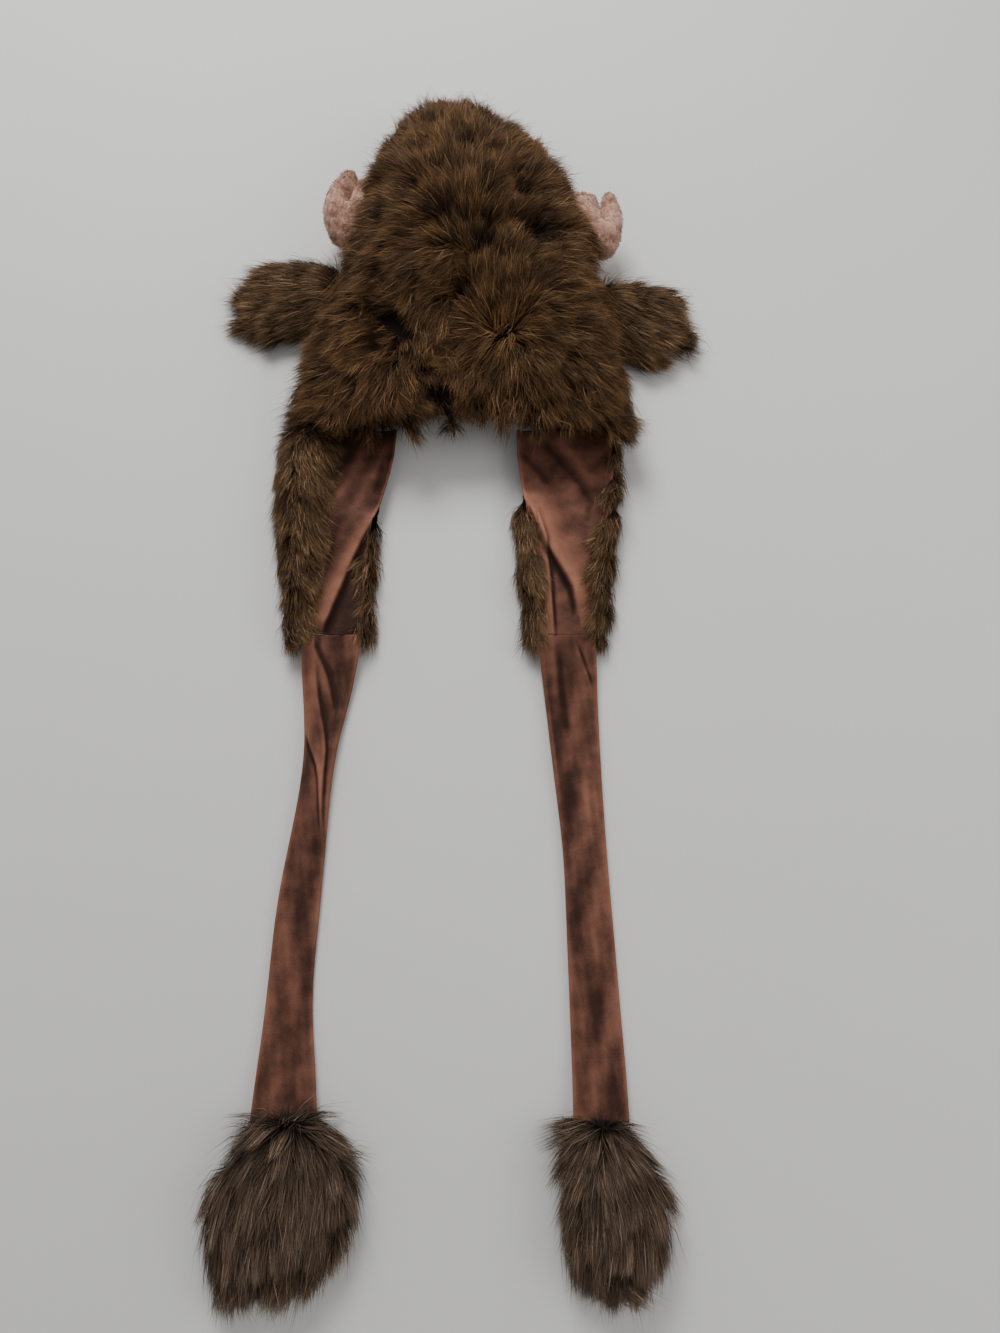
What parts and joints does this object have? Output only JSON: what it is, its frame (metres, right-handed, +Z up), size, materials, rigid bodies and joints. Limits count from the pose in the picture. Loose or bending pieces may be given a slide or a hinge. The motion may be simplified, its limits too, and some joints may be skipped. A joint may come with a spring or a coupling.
{
  "type": "animal costume hood",
  "caption": "Long-haired faux-fur hood with ears, soft curled horns, velvet-lined ear flaps and long velvet straps that end in fur paws, lying face down.",
  "frame": {"origin": "on the surface that the hood lies on, under the middle of the crown", "axes": "+Y towards the top of the crown with the straps towards -Y, +Z up, +X to the right as seen from above"},
  "size_m": [0.4323, 0.9702, 0.102],
  "materials": {
    "fur": "deep brown faux fur with golden-brown guard hairs",
    "paw_fur": "straighter and cooler brown faux fur",
    "velvet": "reddish-brown crushed velvet with a soft sheen",
    "horn_fleece": "short pinkish-tan fleece over stuffing",
    "lining": "plain brown knit lining"
  },
  "bodies": {
    "root": {"crown_fur": "fur", "crown_lining": "lining", "flap_fur_left": "fur", "flap_fur_right": "fur", "flap_lining_left": "velvet", "flap_lining_right": "velvet", "strap_left": "velvet", "strap_right": "velvet", "paw_left": "paw_fur", "paw_right": "paw_fur", "ear_left": "paw_fur", "ear_right": "paw_fur", "horn_left": "horn_fleece", "horn_right": "horn_fleece"}
  },
  "joints": []
}
